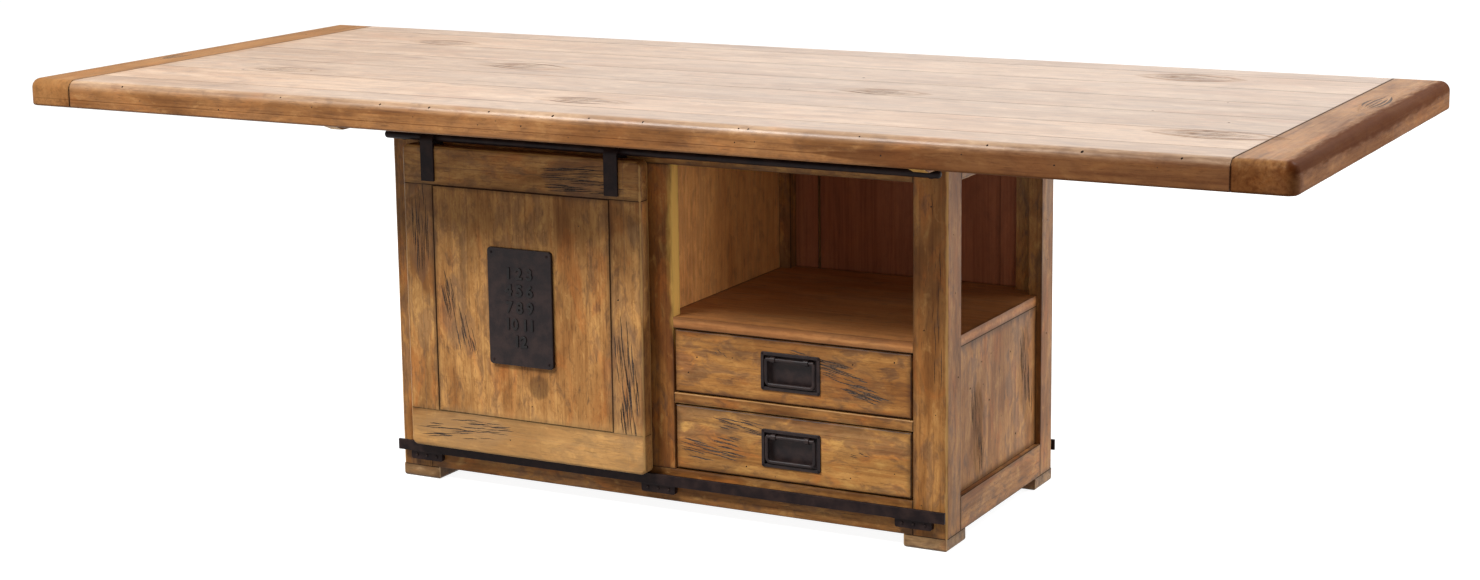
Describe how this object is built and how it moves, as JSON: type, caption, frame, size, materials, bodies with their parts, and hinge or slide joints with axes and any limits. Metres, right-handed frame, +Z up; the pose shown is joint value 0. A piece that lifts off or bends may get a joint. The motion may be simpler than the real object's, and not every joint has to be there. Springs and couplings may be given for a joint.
{
  "type": "dining table",
  "caption": "Plank dining table on a storage cabinet with sliding doors on rods, through niches and drawers with recessed bail pulls.",
  "frame": {"origin": "on the floor, under the middle of the table top", "axes": "+X along the table's length, +Y from the pictured side to the far side, +Z up"},
  "size_m": [2.48, 1, 0.77],
  "materials": {
    "waxed_top_wood": "waxed, rubbed pale on the flat, dark in dents and seams",
    "waxed_frame_wood": "honey brown with a dark glaze, worn at the edges",
    "inside_wood": "plain brown stain",
    "black_iron": "blackened, slightly worn"
  },
  "bodies": {
    "cabinet": {"bar_tabs": "black_iron", "bay_panels": "inside_wood", "block_feet": "waxed_frame_wood", "breadboard_left": "waxed_top_wood", "breadboard_right": "waxed_top_wood", "cabinet_floor": "inside_wood", "divider_stiles": "waxed_frame_wood", "drawer_rails": "waxed_frame_wood", "drawer_runners": "inside_wood", "edge_plank_front": "waxed_top_wood", "edge_plank_rear": "waxed_top_wood", "end_bottom_rails": "waxed_frame_wood", "end_panels": "waxed_frame_wood", "end_top_rails": "waxed_frame_wood", "field_planks": "waxed_top_wood", "front_guide_bar": "black_iron", "front_rod": "black_iron", "long_bottom_rails": "waxed_frame_wood", "long_top_rails": "waxed_frame_wood", "niche_shelf_left": "waxed_frame_wood", "niche_shelf_right": "waxed_frame_wood", "partition": "inside_wood", "post_front_left": "waxed_frame_wood", "post_front_right": "waxed_frame_wood", "post_rear_left": "waxed_frame_wood", "post_rear_right": "waxed_frame_wood", "rear_guide_bar": "black_iron", "rear_rod": "black_iron", "rod_standoffs": "black_iron", "top_cleats": "inside_wood"},
    "front_door": {"front_door_guides": "black_iron", "front_door_panel": "waxed_frame_wood", "front_door_plaque": "black_iron", "front_door_rails": "waxed_frame_wood", "front_door_stiles": "waxed_frame_wood", "front_door_straps": "black_iron"},
    "front_lower_drawer": {"front_lower_drawer_front": "waxed_frame_wood", "front_lower_drawer_box": "inside_wood", "front_lower_pull_plate": "black_iron"},
    "front_lower_handle": {"front_lower_bail": "black_iron"},
    "front_upper_drawer": {"front_upper_drawer_front": "waxed_frame_wood", "front_upper_drawer_box": "inside_wood", "front_upper_pull_plate": "black_iron"},
    "front_upper_handle": {"front_upper_bail": "black_iron"},
    "rear_door": {"rear_door_guides": "black_iron", "rear_door_panel": "waxed_frame_wood", "rear_door_plaque": "black_iron", "rear_door_rails": "waxed_frame_wood", "rear_door_stiles": "waxed_frame_wood", "rear_door_straps": "black_iron"},
    "rear_lower_drawer": {"rear_lower_drawer_front": "waxed_frame_wood", "rear_lower_drawer_box": "inside_wood", "rear_lower_pull_plate": "black_iron"},
    "rear_lower_handle": {"rear_lower_bail": "black_iron"},
    "rear_upper_drawer": {"rear_upper_drawer_front": "waxed_frame_wood", "rear_upper_drawer_box": "inside_wood", "rear_upper_pull_plate": "black_iron"},
    "rear_upper_handle": {"rear_upper_bail": "black_iron"}
  },
  "joints": [
    {"name": "front_door_slide", "type": "slide", "parent": "cabinet", "child": "front_door", "axis": [1, 0, 0], "range_m": [0, 0.533]},
    {"name": "rear_door_slide", "type": "slide", "parent": "cabinet", "child": "rear_door", "axis": [-1, 0, 0], "range_m": [0, 0.533]},
    {"name": "front_lower_drawer_slide", "type": "slide", "parent": "cabinet", "child": "front_lower_drawer", "axis": [0, 1, 0], "range_m": [-0.32, 0]},
    {"name": "front_lower_bail_swing", "type": "hinge", "parent": "front_lower_drawer", "child": "front_lower_handle", "pos_m": [0.2685, -0.253, 0.1702], "axis": [1, 0, 0], "range_deg": [-85, 0]},
    {"name": "front_upper_drawer_slide", "type": "slide", "parent": "cabinet", "child": "front_upper_drawer", "axis": [0, 1, 0], "range_m": [-0.32, 0]},
    {"name": "front_upper_bail_swing", "type": "hinge", "parent": "front_upper_drawer", "child": "front_upper_handle", "pos_m": [0.2685, -0.253, 0.3122], "axis": [1, 0, 0], "range_deg": [-85, 0]},
    {"name": "rear_lower_drawer_slide", "type": "slide", "parent": "cabinet", "child": "rear_lower_drawer", "axis": [0, -1, 0], "range_m": [-0.32, 0]},
    {"name": "rear_lower_bail_swing", "type": "hinge", "parent": "rear_lower_drawer", "child": "rear_lower_handle", "pos_m": [-0.2685, 0.253, 0.1702], "axis": [-1, 0, 0], "range_deg": [-85, 0]},
    {"name": "rear_upper_drawer_slide", "type": "slide", "parent": "cabinet", "child": "rear_upper_drawer", "axis": [0, -1, 0], "range_m": [-0.32, 0]},
    {"name": "rear_upper_bail_swing", "type": "hinge", "parent": "rear_upper_drawer", "child": "rear_upper_handle", "pos_m": [-0.2685, 0.253, 0.3122], "axis": [-1, 0, 0], "range_deg": [-85, 0]}
  ]
}
